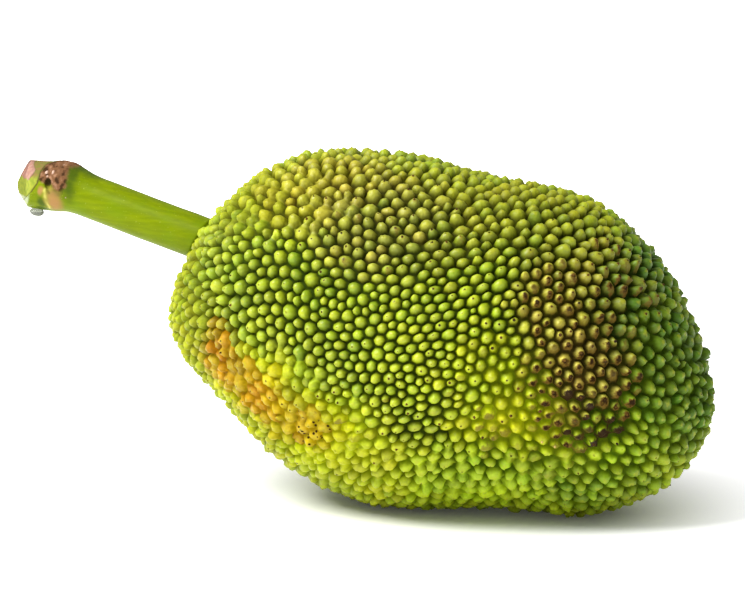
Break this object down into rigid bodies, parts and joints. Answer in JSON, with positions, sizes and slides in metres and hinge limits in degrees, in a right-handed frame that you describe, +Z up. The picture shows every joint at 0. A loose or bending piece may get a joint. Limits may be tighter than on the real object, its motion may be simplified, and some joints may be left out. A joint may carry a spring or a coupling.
{
  "type": "jackfruit",
  "caption": "Whole jackfruit lying on its side: a blunt oval fruit with a knobbly rind, its raised cut stalk with a swollen woody knuckle, and a drop of sap at the cut.",
  "frame": {"origin": "under the middle of the whole jackfruit with its stalk, on the surface that it rests on", "axes": "+X from the cut stalk towards the blossom end, +Z up"},
  "size_m": [0.4812, 0.236, 0.2275],
  "materials": {
    "rind": "semi-matte green rind with yellow, orange and brown patches",
    "stalk": "satin green skin, with matte grey-brown bark and a pale cut at the end",
    "sap": "clear, wet and glossy"
  },
  "bodies": {
    "root": {"fruit": "rind", "stalk": "stalk", "sap_drop": "sap"}
  },
  "joints": []
}
